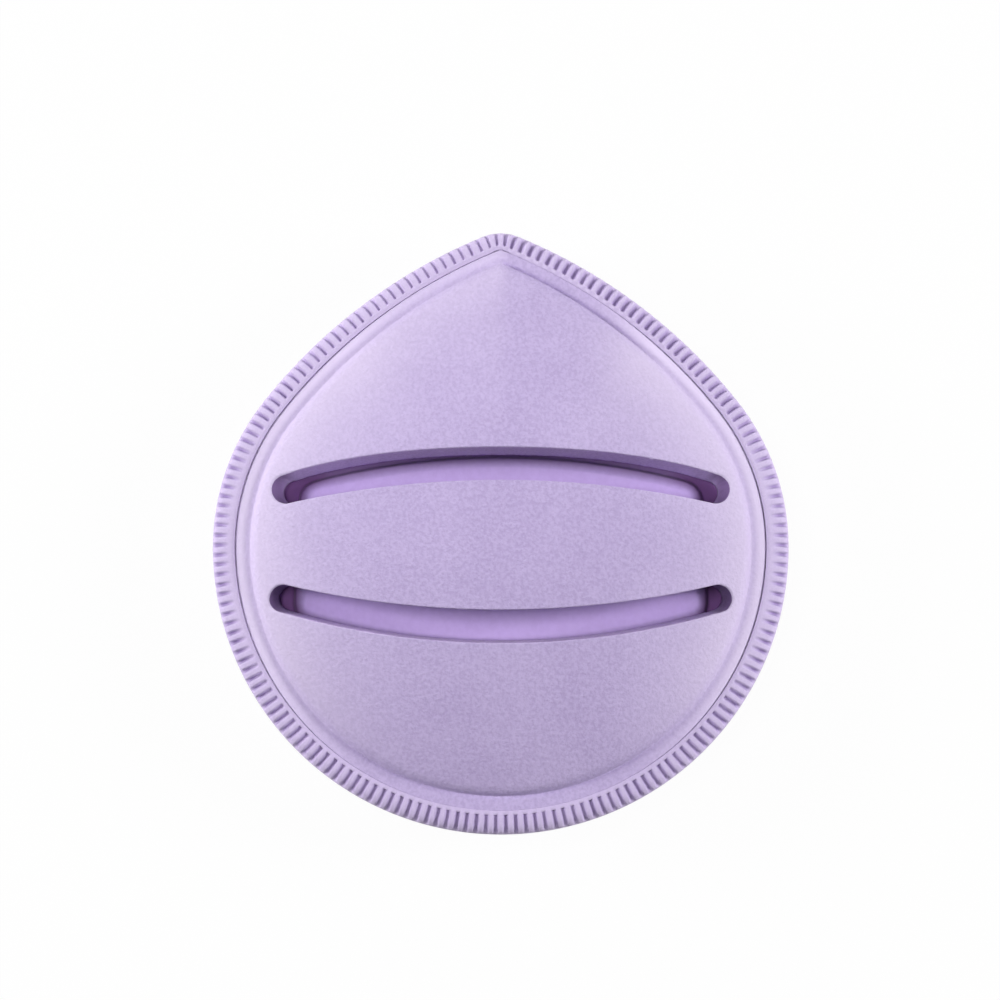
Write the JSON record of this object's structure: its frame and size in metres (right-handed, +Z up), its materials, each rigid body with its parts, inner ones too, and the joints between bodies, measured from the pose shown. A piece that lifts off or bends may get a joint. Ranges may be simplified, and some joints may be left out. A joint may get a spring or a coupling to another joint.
{
  "type": "makeup sponge",
  "caption": "Drop-shaped makeup puff lying on its soft application face, with a moulded finger strap between arched slits over a finger pocket, and a ribbed edge binding.",
  "frame": {"origin": "middle of the bounding box in plan, at the bottom, on the ground plane that the application face rests on", "axes": "+Z up, out of the grip side; +Y to the pointed tip; +X to the right seen from the grip side with the tip up"},
  "size_m": [0.08, 0.0838, 0.0202],
  "materials": {
    "velour_skin": "soft lilac velour, fully matt",
    "core_foam": "open-cell soft foam, off-white",
    "liner_sheet": "smooth thin sheet, lilac, slightly satin",
    "grip_foam": "fine-grained moulded foam, lilac, matt",
    "rim_binding": "pressed ribbed edge, lilac, matt"
  },
  "bodies": {
    "root": {"face_cover": "velour_skin", "core_pad": "core_foam", "pocket_liner": "liner_sheet", "grip_cover": "grip_foam", "ribbed_rim": "rim_binding"}
  },
  "joints": []
}
